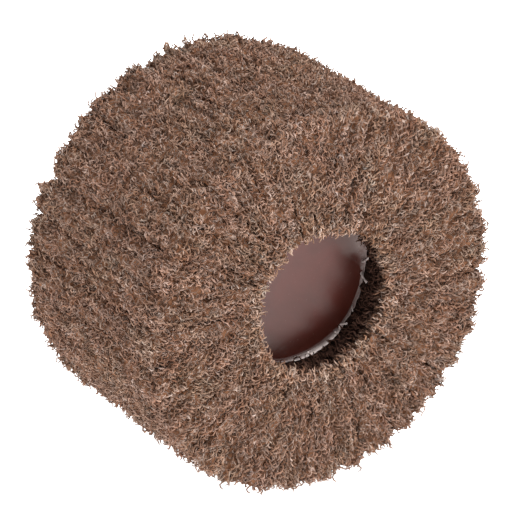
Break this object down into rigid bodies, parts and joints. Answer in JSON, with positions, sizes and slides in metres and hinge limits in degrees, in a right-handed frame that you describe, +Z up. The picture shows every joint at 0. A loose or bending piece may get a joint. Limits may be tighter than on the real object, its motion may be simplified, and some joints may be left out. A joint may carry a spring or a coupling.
{
  "type": "shank-mounted non-woven abrasive flap wheel",
  "caption": "Drum-shaped satin-finishing wheel of brown non-woven abrasive web flaps bonded round a cast resin core, with a recessed glossy front and a steel shank at the back.",
  "frame": {"origin": "centre of the wheel: on the spin axis, midway between the flaps' front and back faces", "axes": "+Y along the spin axis, from the closed front face towards the shank; +Z up, with the wheel lying on its rim on the tip of flap_01; the front face looks towards -Y"},
  "size_m": [0.1, 0.096, 0.1],
  "materials": {
    "abrasive_web": "matte",
    "cast_resin": "gloss",
    "root_bond": "satin",
    "fibre_tube": "matte",
    "core_filling": "satin",
    "bright_steel": "satin"
  },
  "bodies": {
    "root": {"flap_01": "abrasive_web", "flap_02": "abrasive_web", "flap_03": "abrasive_web", "flap_04": "abrasive_web", "flap_05": "abrasive_web", "flap_06": "abrasive_web", "flap_07": "abrasive_web", "flap_08": "abrasive_web", "flap_09": "abrasive_web", "flap_10": "abrasive_web", "flap_11": "abrasive_web", "flap_12": "abrasive_web", "flap_13": "abrasive_web", "flap_14": "abrasive_web", "flap_15": "abrasive_web", "flap_16": "abrasive_web", "flap_17": "abrasive_web", "flap_18": "abrasive_web", "flap_19": "abrasive_web", "flap_20": "abrasive_web", "flap_21": "abrasive_web", "flap_22": "abrasive_web", "flap_23": "abrasive_web", "flap_24": "abrasive_web", "flap_25": "abrasive_web", "flap_26": "abrasive_web", "flap_27": "abrasive_web", "flap_28": "abrasive_web", "flap_29": "abrasive_web", "flap_30": "abrasive_web", "flap_31": "abrasive_web", "flap_32": "abrasive_web", "front_cast_face": "cast_resin", "back_cast_ring": "cast_resin", "root_bond_sleeve": "root_bond", "core_tube": "fibre_tube", "core_filling": "core_filling", "spindle": "bright_steel", "back_washer": "bright_steel"}
  },
  "joints": []
}
